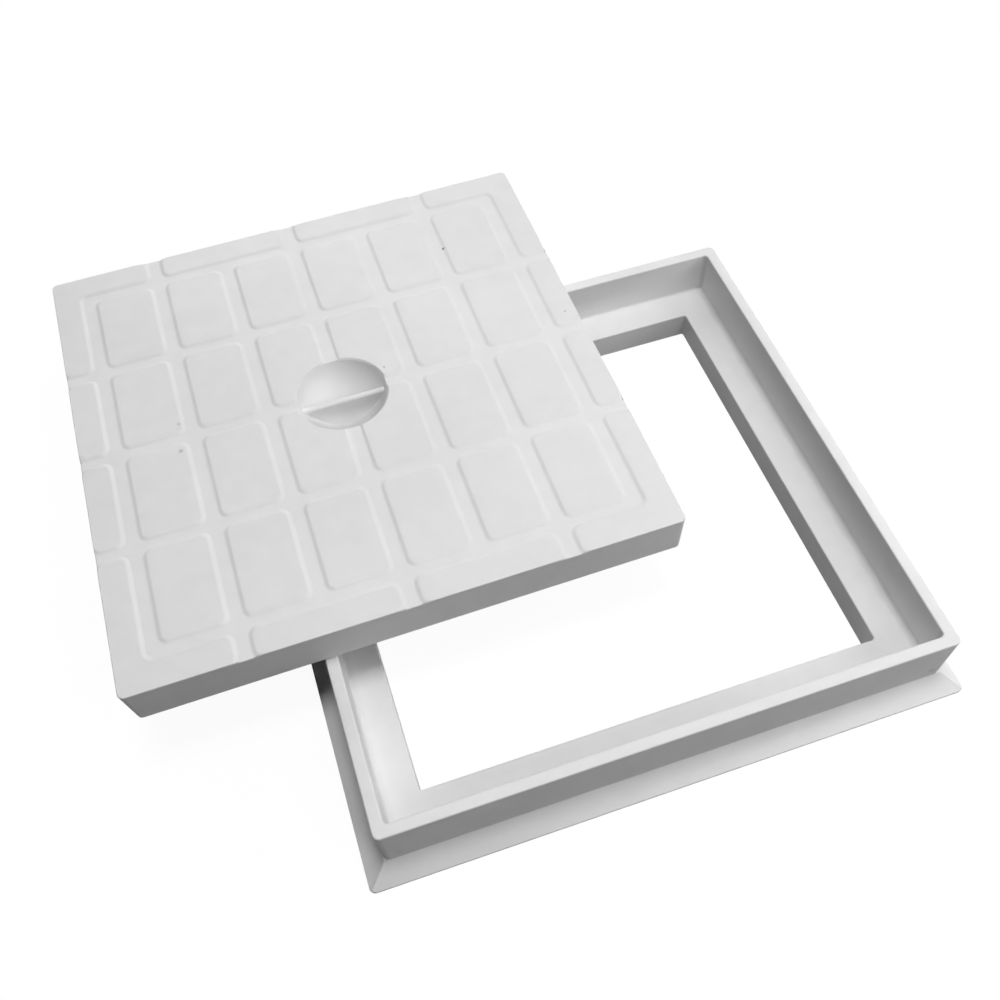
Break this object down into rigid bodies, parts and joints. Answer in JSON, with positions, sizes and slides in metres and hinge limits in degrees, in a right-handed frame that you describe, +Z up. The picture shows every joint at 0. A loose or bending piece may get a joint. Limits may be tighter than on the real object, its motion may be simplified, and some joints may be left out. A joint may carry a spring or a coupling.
{
  "type": "inspection cover",
  "caption": "Square plastic inspection cover with a raised pad tread and a finger dish, lying askew on its rebated, skirted frame.",
  "frame": {"origin": "centre of the frame's clear opening, level with the underside that rests on the ground", "axes": "+Z up, +X to the right along the frame's front side, +Y towards its back"},
  "size_m": [0.4291, 0.4147, 0.072],
  "materials": {
    "frame_plastic": "matt moulded pale grey-white plastic",
    "cover_plastic": "matt moulded pale grey-white plastic"
  },
  "bodies": {
    "root": {"frame": "frame_plastic", "cover": "cover_plastic"}
  },
  "joints": []
}
